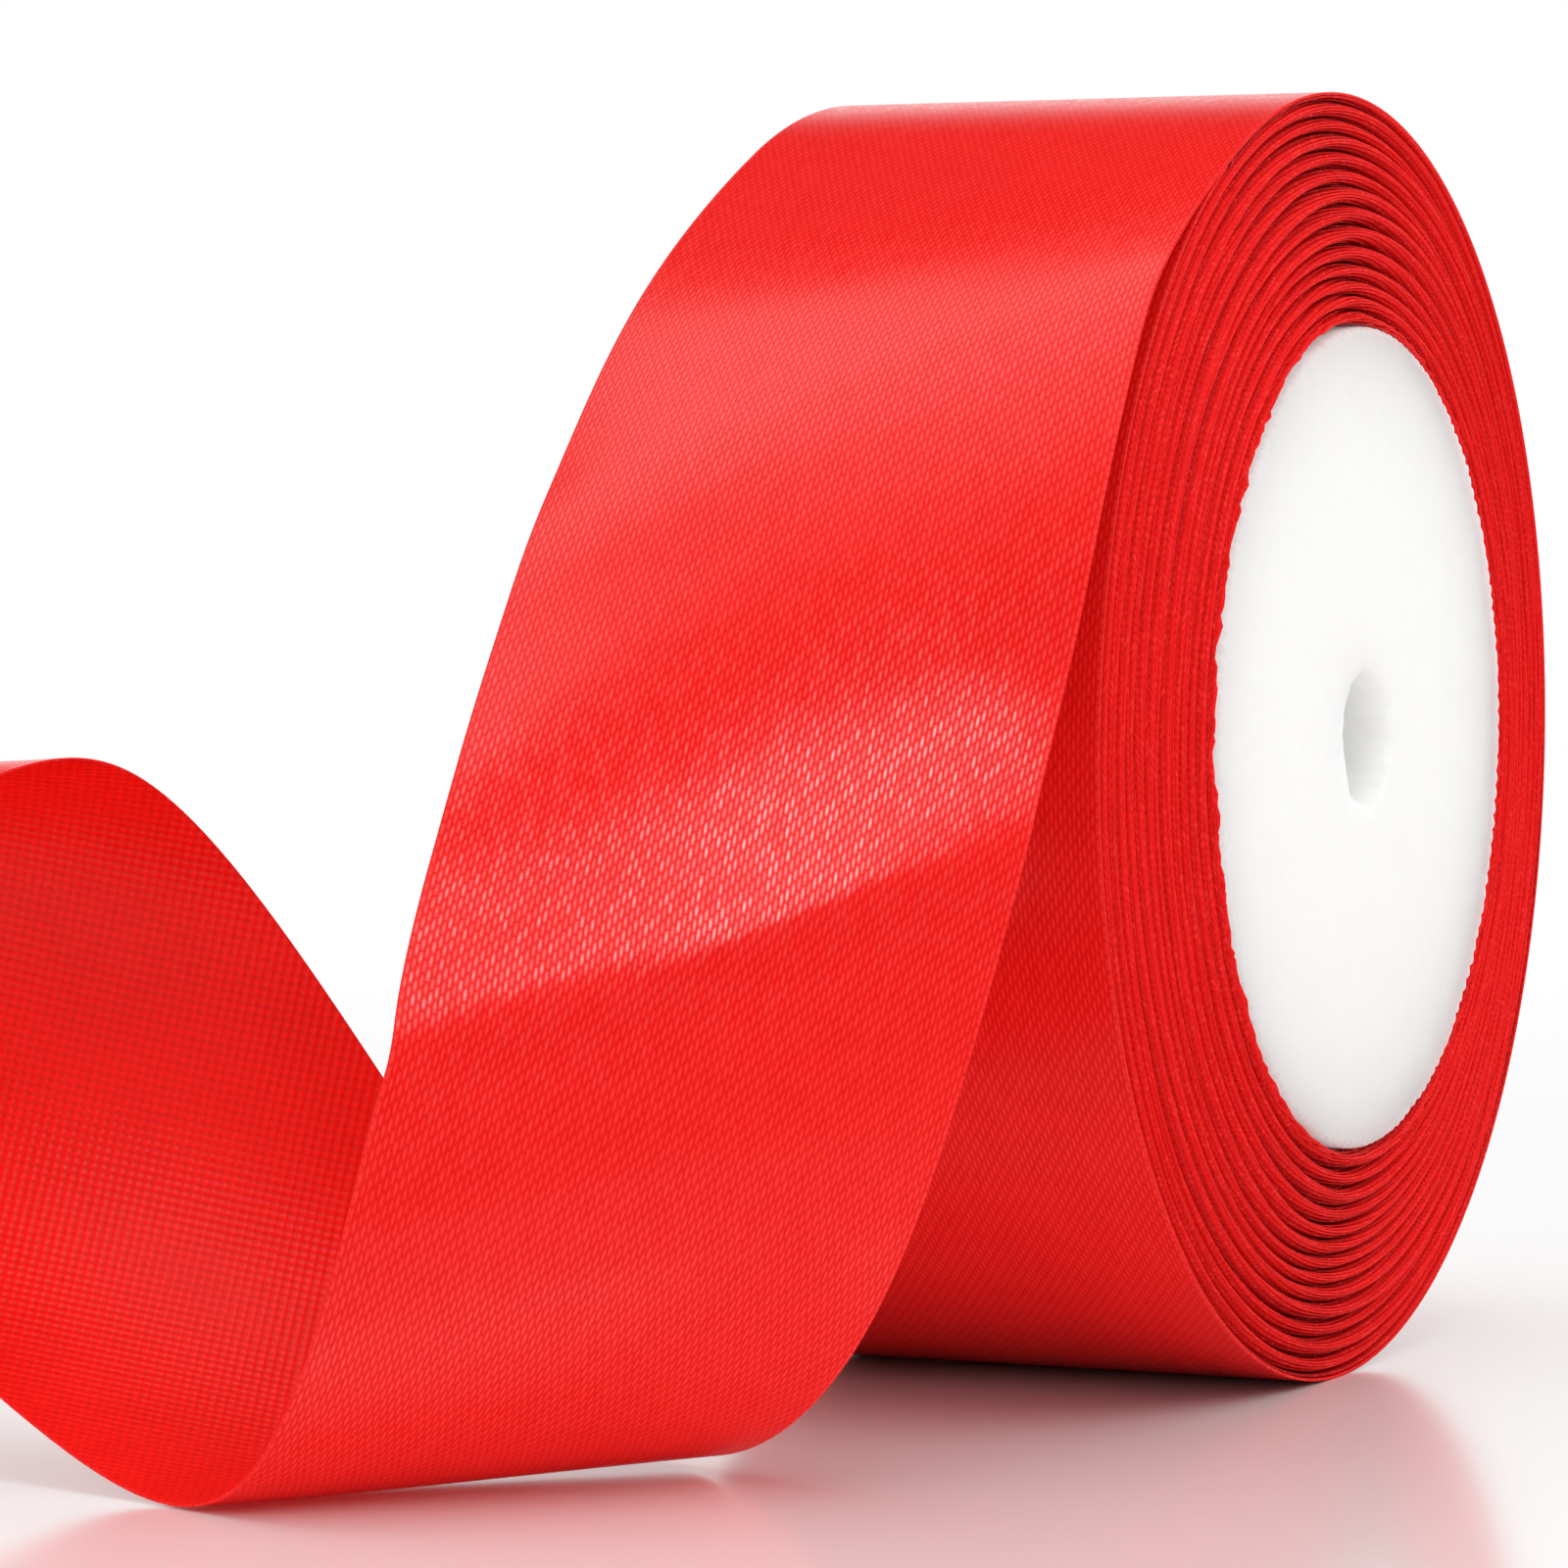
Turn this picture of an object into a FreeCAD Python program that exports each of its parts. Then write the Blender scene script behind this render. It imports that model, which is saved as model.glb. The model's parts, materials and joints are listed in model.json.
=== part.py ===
"""Roll of satin ribbon wound on a foam core, with its free end drawn off over the front.

Units are millimetres. The X axis is the roll's own axis and the origin is the middle of
the core's bore. +Z is up, so the roll stands on the plane z = -ROLL_RADIUS, and the free
end leaves over the top and comes down on the -Y side.
"""
import FreeCAD, Part
import math
import os

# ---- driving dimensions ----
RIBBON_WIDTH = 38.0          # one and a half inches
ROLL_RADIUS = 47.0           # from the roll's axis to the surface it stands on
CORE_RADIUS = 30.0
CORE_LENGTH = 38.0
CORE_EDGE_ROUND = 0.4
BORE_RADIUS = 4.8

GROUP_COUNT = 18             # bundles of about five laps that read as one ridge each
RIDGE_HEIGHT = 0.35          # how far the middle lap of a bundle stands past its neighbours
LEAN = 1.8                   # how far the outermost laps have slid towards -X
WANDER = 0.2                 # uneven seating from one bundle to the next
WANDER_TURN = 2.4            # radians of the wander per bundle

STRIP_THICKNESS = 0.4        # last lap and free end; two laps of real ribbon
TURNING_GAP = 0.3            # between the wound roll and the last lap
LAST_LAP_SWEEP = 355.0       # degrees, so that its two ends don't meet
LAST_LAP_POINTS = 49

TAPE_THICKNESS = 0.15
TAPE_WIDTH = 24.0
TAPE_SWEEP = 36.0            # degrees round the core
TAPE_START = 200.0

LEAVE_ANGLE = 25.0           # from the top towards -Y, where the free end lifts off
LEAVE_STEP = 7.0             # first control step, along the tangent

# The free end's route, by hand: x, y and z of the strip's middle, the degrees that it is
# turned about the vertical and tilted up at its right edge, and how far it crowns.
TAIL_ROUTE = [
    (-2, -38.5, 33, 4, 2, 1),
    (-0.5, -53, 18, 9, -4, 3),
    (-0.5, -64, 0.5, 25, -9, 4.5),
    (0.5, -76, -16, 40, -17, 4.5),
    (-2, -83, -35, 53, -18, 2),
    (-16, -76, -50.6, 71, 0, 0.5),
    (-34.5, -70, -38, 64, 17, 3),
    (-50, -68, -23.5, 44, 30, 3),
    (-61, -72, -7.5, 9, 30, 4),
    (-65, -82, -3.5, -10, 8, 4),
    (-69, -90, -4, -12, -1, 3),
    (-73, -97, -10, -14, -3, 2),
]

AXIS = FreeCAD.Vector(1, 0, 0)
ORIGIN = FreeCAD.Vector(0, 0, 0)

# The last lap is a spiral: it closes in by its own thickness in one turn, and its outside
# is ROLL_RADIUS from the axis at the bottom, where the roll stands.
LEAVE_RADIUS = ROLL_RADIUS + STRIP_THICKNESS * (180 + LEAVE_ANGLE) / 360
WOUND_RADIUS = LEAVE_RADIUS - 2 * STRIP_THICKNESS - TURNING_GAP
GROUP_STEP = (WOUND_RADIUS - CORE_RADIUS) / GROUP_COUNT


def on_roll(x, radius, degrees):
    """Point at a radius and an angle from the top, measured towards -Y."""
    turn = math.radians(degrees)
    return FreeCAD.Vector(x, -radius * math.sin(turn), radius * math.cos(turn))


def ridge_x(radius):
    """How far towards +X the laps reach at this radius."""
    share = (radius - CORE_RADIUS) / (ROLL_RADIUS - CORE_RADIUS)
    return CORE_LENGTH / 2 - LEAN * share


def strip_edges_x():
    """Right and left edge of the last lap along the roll's axis."""
    right = ridge_x(ROLL_RADIUS) - RIDGE_HEIGHT
    return right, right - RIBBON_WIDTH


def foam_core():
    """Plain foam cylinder with a bore and slightly rounded rims."""
    base = FreeCAD.Vector(-CORE_LENGTH / 2, 0, 0)
    core = Part.makeCylinder(CORE_RADIUS, CORE_LENGTH, base, AXIS)
    rims = [edge for edge in core.Edges if edge.Curve.TypeId == "Part::GeomCircle"]
    core = core.makeFillet(CORE_EDGE_ROUND, rims)
    return core.cut(Part.makeCylinder(BORE_RADIUS, CORE_LENGTH, base, AXIS))


def starter_tape():
    """Short adhesive patch that holds the ribbon's inner end to the core."""
    base = FreeCAD.Vector(-TAPE_WIDTH / 2, 0, 0)
    outer = Part.makeCylinder(CORE_RADIUS + TAPE_THICKNESS, TAPE_WIDTH, base, AXIS, TAPE_SWEEP)
    tape = outer.cut(Part.makeCylinder(CORE_RADIUS, TAPE_WIDTH, base, AXIS))
    tape.rotate(ORIGIN, AXIS, TAPE_START)
    return tape


def lap_group(index):
    """One bundle of laps: a ring whose right end is a ridge and its left end the hollow."""
    inner = CORE_RADIUS + index * GROUP_STEP
    outer = inner + GROUP_STEP
    middle = (inner + outer) / 2
    seat = WANDER * (1 + math.sin(WANDER_TURN * index)) / 2
    ridge = [(ridge_x(inner) - seat - RIDGE_HEIGHT, inner),
             (ridge_x(middle) - seat, middle),
             (ridge_x(outer) - seat - RIDGE_HEIGHT, outer)]
    right = [FreeCAD.Vector(x, 0, radius) for x, radius in ridge]
    left = [point - AXIS * RIBBON_WIDTH for point in right]
    edges = [
        Part.Arc(*right).toShape(),
        Part.LineSegment(right[2], left[2]).toShape(),
        Part.Arc(*reversed(left)).toShape(),
        Part.LineSegment(left[0], right[0]).toShape(),
    ]
    return Part.Face(Part.Wire(edges)).revolve(ORIGIN, AXIS, 360)


def spiral(x, radius):
    """Edge back from the free end round the roll, closing in as the strip winds."""
    points = []
    for index in range(LAST_LAP_POINTS):
        turned = LAST_LAP_SWEEP * index / (LAST_LAP_POINTS - 1)
        closed_in = STRIP_THICKNESS * turned / 360
        points.append(on_roll(x, radius - closed_in, LEAVE_ANGLE - turned))
    curve = Part.BSplineCurve()
    curve.interpolate(points)
    return curve.toShape()


def last_lap():
    """Outermost turn of the strip, from under the free end round to where it lifts off."""
    left = strip_edges_x()[1]
    inside = spiral(left, LEAVE_RADIUS - STRIP_THICKNESS)
    section = Part.makeRuledSurface(inside, spiral(left, LEAVE_RADIUS))
    return section.extrude(AXIS * RIBBON_WIDTH)


def across_strip(turn, tilt):
    """Unit vector towards the strip's right edge, from its turn and tilt in degrees."""
    turn = math.radians(turn)
    tilt = math.radians(tilt)
    return FreeCAD.Vector(math.cos(turn) * math.cos(tilt), math.sin(turn) * math.cos(tilt),
                          math.sin(tilt))


def tail_rows(depth):
    """Control rows of the free end at a depth under its satin face, right edge to left."""
    right, left = strip_edges_x()
    lift = [on_roll(x, LEAVE_RADIUS - depth, LEAVE_ANGLE)
            for x in (right, (right + left) / 2, left)]
    along = on_roll(0, 1, LEAVE_ANGLE + 90)
    rows = [lift, [point + along * LEAVE_STEP for point in lift]]
    middles = [row[1] for row in rows] + [FreeCAD.Vector(*stop[:3]) for stop in TAIL_ROUTE]
    for index, (_, _, _, turn, tilt, crown) in enumerate(TAIL_ROUTE, start=len(rows)):
        across = across_strip(turn, tilt)
        ahead = middles[min(index + 1, len(middles) - 1)] - middles[index - 1]
        outward = ahead.cross(across).normalize()
        middle = middles[index] - outward * depth
        half = across * (RIBBON_WIDTH / 2)
        rows.append([middle + half, middle + outward * (2 * crown), middle - half])
    return rows


def tail_face(depth):
    """The free end's sheet at a depth under its satin face."""
    rows = tail_rows(depth)
    spans = len(rows) - 3
    sheet = Part.BSplineSurface()
    sheet.buildFromPolesMultsKnots(
        rows, [4] + [1] * (spans - 1) + [4], [3, 3],
        [index / spans for index in range(spans + 1)], [0.0, 1.0], False, False, 3, 2)
    return sheet.toShape()


def free_tail():
    """The drawn-off end: two curved faces a strip's thickness apart, closed all round."""
    satin = tail_face(0)
    back = tail_face(STRIP_THICKNESS)
    sides = [Part.makeRuledSurface(*pair) for pair in zip(satin.Edges, back.Edges)]
    shell = Part.makeShell([satin, back] + sides)
    shell.sewShape()
    return Part.makeSolid(shell)


def build():
    """Every node of the part, by name."""
    tape = starter_tape()
    nodes = {"foam_core": foam_core(), "starter_tape": tape}
    for index in range(GROUP_COUNT):
        nodes[f"lap_group_{index + 1:02d}"] = lap_group(index)
    nodes["lap_group_01"] = nodes["lap_group_01"].cut(tape)
    nodes["last_lap"] = last_lap()
    nodes["free_tail"] = free_tail()
    return nodes


def main():
    """Write one STEP file per node and print what each one is."""
    os.makedirs("parts", exist_ok=True)
    for name, shape in build().items():
        print(f"{name}: {len(shape.Solids)} solid, valid {shape.isValid()}, "
              f"{shape.Volume / 1000:.2f} cm3")
        shape.exportStep(f"parts/{name}.step")


main()
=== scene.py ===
"""Looks of a flangeless roll of satin ribbon wound on a foam core.

Lengths are metres. X is the roll's own axis, +Z is up, and the ribbon's free end comes
down on the -Y side. A distance along the ribbon is counted from where its last lap
begins, under the free end, to the cut end. A place across it runs from 0 at its right
edge, the one towards +X, to 1 at its left edge.
"""
import json
import logging
import math
from bisect import bisect_left
from dataclasses import dataclass
from enum import Enum
from typing import Sequence, Union

import bmesh
import bpy
from mathutils import Matrix, Vector, noise


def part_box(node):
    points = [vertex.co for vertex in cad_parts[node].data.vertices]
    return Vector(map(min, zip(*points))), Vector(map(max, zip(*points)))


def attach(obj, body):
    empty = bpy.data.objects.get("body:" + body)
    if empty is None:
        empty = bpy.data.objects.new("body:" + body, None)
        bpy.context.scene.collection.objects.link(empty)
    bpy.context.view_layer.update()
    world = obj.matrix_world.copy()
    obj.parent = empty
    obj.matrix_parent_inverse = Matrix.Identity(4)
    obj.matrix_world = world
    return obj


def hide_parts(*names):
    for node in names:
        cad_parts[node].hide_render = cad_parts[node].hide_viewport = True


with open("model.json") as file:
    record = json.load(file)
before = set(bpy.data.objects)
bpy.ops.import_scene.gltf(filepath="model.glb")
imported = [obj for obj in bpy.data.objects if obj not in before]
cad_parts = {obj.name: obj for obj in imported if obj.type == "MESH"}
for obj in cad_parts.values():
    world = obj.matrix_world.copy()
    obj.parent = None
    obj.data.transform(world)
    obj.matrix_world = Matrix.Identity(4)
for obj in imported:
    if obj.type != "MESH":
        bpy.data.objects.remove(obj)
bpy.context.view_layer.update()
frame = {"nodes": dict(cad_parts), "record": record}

LOG = logging.getLogger("ribbon_roll")
MM = 0.001
FLAT_UV = "flat"
GROOVE = "groove"
FULL_TURN = 2 * math.pi
WHITE = (1.0, 1.0, 1.0)
BLACK = (0.0, 0.0, 0.0)
CURVE_DEGREE = 3
WELD = 1e-7

Colour = tuple[float, float, float]
Number = Union[float, "Term"]


class Body(Enum):
    """The two bodies that the frame's one joint connects."""

    TAIL = "tail"
    ROLL = "roll"


class Slot(Enum):
    """Material slots of the frame's record."""

    FOAM = "foam"
    TAPE = "tape"
    EDGES = "ribbon_edges"
    RIBBON = "ribbon"


# ---- shader expressions


@dataclass(frozen=True)
class Term:
    """A shader value that takes part in Python expressions.

    Args:
        sheet: The node sheet that the value belongs to.
        socket: The output socket that carries it.
    """

    sheet: "NodeSheet"
    socket: bpy.types.NodeSocket

    def __add__(self, other: Number) -> "Term":
        """Sum."""
        return self.sheet.math("ADD", self, other)

    def __sub__(self, other: Number) -> "Term":
        """Difference."""
        return self.sheet.math("SUBTRACT", self, other)

    def __rsub__(self, other: Number) -> "Term":
        """Difference, taken from a plain number."""
        return self.sheet.math("SUBTRACT", other, self)

    def __mul__(self, other: Number) -> "Term":
        """Product."""
        return self.sheet.math("MULTIPLY", self, other)

    def __pow__(self, other: Number) -> "Term":
        """Power."""
        return self.sheet.math("POWER", self, other)

    __radd__ = __add__
    __rmul__ = __mul__

    def floor(self) -> "Term":
        """Whole part."""
        return self.sheet.math("FLOOR", self)

    def fract(self) -> "Term":
        """Part after the point."""
        return self.sheet.math("FRACT", self)

    def least(self, other: Number) -> "Term":
        """The lesser of two values."""
        return self.sheet.math("MINIMUM", self, other)

    def most(self, other: Number) -> "Term":
        """The greater of two values."""
        return self.sheet.math("MAXIMUM", self, other)

    def hump(self) -> "Term":
        """A round hump over each whole step: 0 at its ends and 1 halfway."""
        return self.sheet.math("SINE", self.fract() * math.pi)

    def wave(self) -> "Term":
        """A sine of one whole turn per step, from -1 to 1."""
        return self.sheet.math("SINE", self * FULL_TURN)

    def ease(self, low: float, high: float) -> "Term":
        """0 below low, 1 above high, and smooth between them."""
        node = self.sheet.node("ShaderNodeMapRange", {"interpolation_type": "SMOOTHSTEP"},
                               {"Value": self, "From Min": low, "From Max": high})
        return Term(self.sheet, node.outputs["Result"])


class NodeSheet:
    """The nodes of one material or world."""

    def __init__(self, tree: bpy.types.NodeTree) -> None:
        """Clears the tree, ready for new nodes."""
        self.tree = tree
        tree.nodes.clear()

    def node(self, kind: str, settings: dict | None = None,
             inputs: dict | None = None) -> bpy.types.Node:
        """Adds a node, sets it up and feeds it.

        Args:
            kind: The node's type.
            settings: Its properties.
            inputs: A value or a Term for each socket, by the socket's name or number.

        Returns:
            The new node.
        """
        made = self.tree.nodes.new(kind)
        for name, value in (settings or {}).items():
            setattr(made, name, value)
        for name, value in (inputs or {}).items():
            if isinstance(value, Term):
                self.tree.links.new(value.socket, made.inputs[name])
            else:
                made.inputs[name].default_value = value
        return made

    def math(self, operation: str, *values: Number) -> Term:
        """One Math node of up to three values."""
        node = self.node("ShaderNodeMath", {"operation": operation},
                         dict(enumerate(values)))
        return Term(self, node.outputs[0])

    def mix(self, low: "Colour | Term", high: "Colour | Term", share: Number) -> Term:
        """Colour between low, at a share of 0, and high, at 1."""
        pair = [c if isinstance(c, Term) else (*c, 1.0) for c in (low, high)]
        node = self.node("ShaderNodeMix", {"data_type": "RGBA", "clamp_factor": True},
                         {0: share, 6: pair[0], 7: pair[1]})
        return Term(self, node.outputs[2])

    def parts(self, vector: Term) -> tuple[Term, Term, Term]:
        """X, Y and Z of a vector."""
        node = self.node("ShaderNodeSeparateXYZ", {}, {0: vector})
        return tuple(Term(self, node.outputs[axis]) for axis in "XYZ")

    def flat_mm(self) -> tuple[Term, Term]:
        """Millimetres along and across the ribbon, from its flat layout."""
        uv = self.node("ShaderNodeUVMap", {"uv_map": FLAT_UV})
        along, across, _ = self.parts(Term(self, uv.outputs[0]))
        return along * (1 / MM), across * (1 / MM)

    def spot(self) -> Term:
        """Place on the object itself, in metres."""
        node = self.node("ShaderNodeTexCoord")
        return Term(self, node.outputs["Object"])

    def ray(self, kind: str) -> Term:
        """1 for one kind of light ray and 0 for the others."""
        node = self.node("ShaderNodeLightPath")
        return Term(self, node.outputs[f"Is {kind} Ray"])

    def pair(self, first: Number, second: Number) -> Term:
        """Vector of two values."""
        node = self.node("ShaderNodeCombineXYZ", {}, {"X": first, "Y": second})
        return Term(self, node.outputs[0])

    def chance(self, first: Number, second: Number) -> Term:
        """A fixed random value from 0 to 1 for each pair of values."""
        node = self.node("ShaderNodeTexWhiteNoise", {"noise_dimensions": "2D"},
                         {"Vector": self.pair(first, second)})
        return Term(self, node.outputs["Value"])

    def groove(self) -> Term:
        """How deep a place lies between the ridges of the roll's end, from 0 to 1."""
        # This mask feeds the painted shade in the grooves.
        node = self.node("ShaderNodeAttribute", {"attribute_name": GROOVE})
        return Term(self, node.outputs["Fac"])

    def drift(self, first: Number, second: Number) -> Term:
        """Smooth noise about 0.5, a few units wide, over a pair of values."""
        node = self.node("ShaderNodeTexNoise", {"noise_dimensions": "2D"},
                         {"Vector": self.pair(first, second), "Scale": 1.0, "Detail": 2.0})
        return Term(self, node.outputs[0])


class Finish:
    """A material: its name and how its surface is made."""

    name: str

    def surface(self, sheet: NodeSheet) -> dict:
        """Values and links for the shader's sockets."""
        raise NotImplementedError

    def material(self) -> bpy.types.Material:
        """Makes the material.

        Returns:
            The new material.
        """
        made = bpy.data.materials.new(self.name)
        made.use_nodes = True
        sheet = NodeSheet(made.node_tree)
        shader = sheet.node("ShaderNodeBsdfPrincipled", {}, self.surface(sheet))
        sheet.node("ShaderNodeOutputMaterial", {},
                   {"Surface": Term(sheet, shader.outputs["BSDF"])})
        return made


def relief(sheet: NodeSheet, height: Term, depth: float, strength: float = 1.0) -> Term:
    """Normal of a surface with a fine relief.

    Args:
        sheet: The material's nodes.
        height: The relief, from 0 to about 1.
        depth: How deep it is, in metres.
        strength: How much of it shows.

    Returns:
        The changed normal.
    """
    node = sheet.node("ShaderNodeBump", {},
                      {"Height": height, "Distance": depth, "Strength": strength})
    return Term(sheet, node.outputs["Normal"])


@dataclass(frozen=True)
class SatinFace(Finish):
    """The ribbon's shiny side: warp floats along it, staggered from thread to thread.

    The floats stand clear and glint one by one in a slanting band where the free end dips.
    Lengths are millimetres.

    Args:
        width: The ribbon's width.
        lap: Length of the last lap. The free end begins after it.
        float_length: Length of one float.
        float_taper: How fast it thins out towards its ends.
        thread_pitch: From one warp thread to the next.
        thread_taper: How fast a float falls away to its sides.
        stagger: The floats' shift from thread to thread, as a share of their length.
        selvedge: Width of the border along each edge.
        stitch_pitch: From one stitch of the border to the next.
        band_slant: The band's shift along the ribbon for each step across it.
        band_start: Where it starts along the free end's right edge.
        band_end: Where it ends.
        band_fade: The length over which it comes and goes.
        calm_gloss: Least gloss outside the band.
        gloss: Strength of the gloss as a whole.
        relief_depth: How far the floats stand out, in metres.
        valley: Colour between the floats, darker there as painted shade.
        crest: Colour on them, lighter there as painted light.
        thread_end: Colour of the border's stitches.
        shade: Painted shade, the colour deep between the ridges of the roll's end.
    """

    width: float
    lap: float
    name: str = "satin_face"
    float_length: float = 1.16
    float_taper: float = 1.3
    thread_pitch: float = 0.33
    thread_taper: float = 2.5
    stagger: float = 0.42
    selvedge: float = 0.4
    stitch_pitch: float = 0.55
    band_slant: float = 0.684
    band_start: float = 38.0
    band_end: float = 80.0
    band_fade: float = 10.0
    calm_gloss: float = 0.045
    gloss: float = 1.05
    relief_depth: float = 0.006 * MM
    valley: Colour = (0.57, 0.004, 0.004)
    crest: Colour = (0.93, 0.015, 0.012)
    thread_end: Colour = (1.0, 0.08, 0.07)
    shade: Colour = (0.30, 0.002, 0.002)

    def surface(self, sheet: NodeSheet) -> dict:
        """Values and links for the shader's sockets."""
        along, across = sheet.flat_mm()
        thread = across * (1 / self.thread_pitch)
        place = along * (1 / self.float_length) - thread.floor() * self.stagger
        lift = thread.hump() ** self.thread_taper * place.hump() ** self.float_taper
        spark = sheet.chance(thread.floor(), place.floor())
        cloud = sheet.drift(along * 0.16, across * 0.10)
        border = 1 - across.least(self.width - across).ease(0.0, self.selvedge)
        stitch = (along * (1 / self.stitch_pitch)).hump() * border
        level = along - across * self.band_slant - self.lap
        band = level.ease(self.band_start, self.band_start + self.band_fade) \
            * (1 - level.ease(self.band_end - self.band_fade, self.band_end))
        calm = self.calm_gloss + lift * (spark * 0.12 + 0.20)
        glints = lift * (spark ** 2 * 0.85 + 0.37)
        open_air = (1 - sheet.groove()) * (1 - border) * self.gloss
        # Painted light and shade of the weave: the tone rises on each float and falls between them;
        # spark and cloud add random tone.
        tone = lift * 0.65 + spark * 0.12 + cloud * 0.15 + 0.22
        # Painted shade: the colour goes towards shade deep in the grooves of the roll's end.
        body = sheet.mix(sheet.mix(self.valley, self.crest, tone), self.shade,
                         sheet.groove() * 0.8)
        return {
            # lift paints a faint highlight of the stitch colour on each float.
            "Base Color": sheet.mix(body, self.thread_end, stitch * 0.25 + lift * 0.08),
            "Roughness": 0.16 + spark * 0.10,
            "Specular IOR Level": 0.11,
            "Coat Weight": (calm * (1 - band) + glints * band) * open_air,
            "Coat Roughness": 0.215,
            "Coat IOR": 2.4,
            "Normal": relief(sheet, lift + stitch, self.relief_depth),
        }


@dataclass(frozen=True)
class PlainBack(Finish):
    """The ribbon's matt side: a plain weave of small raised dots.

    Args:
        pitch: From one dot to the next, in mm.
        relief_depth: How far the dots stand out, in metres.
        gap: Colour between them, darker there as painted shade.
        dot: Colour on the dots, lighter there as painted light.
    """

    name: str = "plain_back"
    pitch: float = 0.46
    relief_depth: float = 0.08 * MM
    gap: Colour = (0.68, 0.003, 0.002)
    dot: Colour = (0.98, 0.012, 0.007)

    def surface(self, sheet: NodeSheet) -> dict:
        """Values and links for the shader's sockets."""
        along, across = sheet.flat_mm()
        half = 0.5 / self.pitch
        weave = (along * half).wave() * (across * half).wave() * 0.5 + 0.5
        cloud = sheet.drift(along * 0.12, across * 0.12)
        spark = sheet.chance((along * half * 2).floor(), (across * half * 2).floor())
        # Painted light and shade of the weave: lighter on the raised dots, darker between them;
        # cloud and spark add random tone.
        return {
            "Base Color": sheet.mix(self.gap, self.dot, weave * 0.7 + cloud * 0.35 + spark * 0.1),
            "Roughness": 0.44 - weave * 0.18,
            "Specular IOR Level": 0.2,
            "Normal": relief(sheet, weave + spark * 0.2, self.relief_depth, 0.8),
        }


@dataclass(frozen=True)
class Selvedge(Finish):
    """The ribbon's woven edge, as the wound laps show it: short bright stitches.

    Args:
        stitch: From one stitch to the next, in mm.
        relief_depth: How far the stitches stand out, in metres.
        shade: Painted shade, the colour deep between the ridges.
        thread: Colour on the ridges.
        glint: Painted glint, a bright colour on a few stitches.
    """

    name: str = "selvedge"
    stitch: float = 0.62
    relief_depth: float = 0.05 * MM
    shade: Colour = (0.27, 0.002, 0.003)
    thread: Colour = (0.84, 0.011, 0.011)
    glint: Colour = (1.0, 0.04, 0.035)

    def surface(self, sheet: NodeSheet) -> dict:
        """Values and links for the shader's sockets."""
        along, across = sheet.flat_mm()
        lap = sheet.drift(along * 0.02, across * 7.0)
        step = along * (1 / self.stitch) + lap * 9
        bead = step.hump()
        spark = sheet.chance(step.floor(), (across * 5).floor())
        patch = sheet.drift(along * 0.3, across * 2.0)
        band = sheet.drift(along * 0.02, across * 0.45)
        # Painted shade: the tone falls deep in the grooves. Painted light: it rises on each stitch's
        # hump. Band and patch are random tone.
        tone = (band - 0.5) * 0.8 + (bead + patch) * 0.22 + 0.86 - sheet.groove() * 1.25
        body = sheet.mix(self.shade, self.thread, tone)
        return {
            # Painted glints: a few stitches take the bright glint colour.
            "Base Color": sheet.mix(body, self.glint, spark ** 4 * bead * 0.7),
            "Roughness": 0.55 - spark ** 5 * 0.2,
            "Specular IOR Level": 0.08,
            "Normal": relief(sheet, bead + spark * 0.3, self.relief_depth, 0.8),
        }


@dataclass(frozen=True)
class BeadFoam(Finish):
    """White moulded bead foam: flattened beads with fine seams and faint streaks.

    Args:
        bead_size: Size of one bead, in metres.
        seam_share: Width of a seam, as a share of a bead.
        streaks: How closely the streaks lie along X, Y and Z.
        glow_mm: How far light spreads inside the foam, in mm.
        relief_depth: How far the beads stand out, in metres.
        white: Colour of the beads.
        seam: Colour of the seams.
    """

    name: str = "bead_foam"
    bead_size: float = 2.4 * MM
    seam_share: float = 0.12
    streaks: tuple[float, float, float] = (1100.0, 1100.0, 160.0)
    glow_mm: float = 20.0
    relief_depth: float = 0.03 * MM
    white: Colour = (0.82, 0.82, 0.808)
    seam: Colour = (0.81, 0.808, 0.796)

    def surface(self, sheet: NodeSheet) -> dict:
        """Values and links for the shader's sockets."""
        spot = sheet.spot()
        beads = sheet.node("ShaderNodeTexVoronoi", {"feature": "DISTANCE_TO_EDGE"},
                           {"Vector": spot, "Scale": 1 / self.bead_size})
        seams = Term(sheet, beads.outputs["Distance"]).ease(0.0, self.seam_share)
        laid = sheet.node("ShaderNodeMapping", {}, {"Vector": spot, "Scale": self.streaks})
        rubbed = sheet.node("ShaderNodeTexNoise", {}, {"Vector": Term(sheet, laid.outputs[0]),
                                                       "Scale": 1.0, "Detail": 3.0})
        streak = Term(sheet, rubbed.outputs[0])
        return {
            "Base Color": sheet.mix(self.seam, self.white, seams * 0.5 + streak * 0.8),
            "Roughness": 0.75,
            "Specular IOR Level": 0.2,
            "Subsurface Weight": 0.9,
            "Subsurface Radius": (self.glow_mm, self.glow_mm, self.glow_mm),
            "Subsurface Scale": MM,
            "Normal": relief(sheet, seams * 0.3 + streak * 0.4, self.relief_depth, 0.5),
        }


@dataclass(frozen=True)
class ClearTape(Finish):
    """Clear adhesive tape with faint rubbed streaks."""

    name: str = "clear_tape"
    film: Colour = (0.85, 0.84, 0.78)

    def surface(self, sheet: NodeSheet) -> dict:
        """Values and links for the shader's sockets."""
        rub = sheet.node("ShaderNodeTexNoise", {}, {"Vector": sheet.spot(), "Scale": 900.0})
        worn = Term(sheet, rub.outputs[0])
        return {"Base Color": (*self.film, 1.0), "Roughness": 0.2 + worn * 0.2, "Alpha": 0.6}


# ---- mesh helpers


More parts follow.
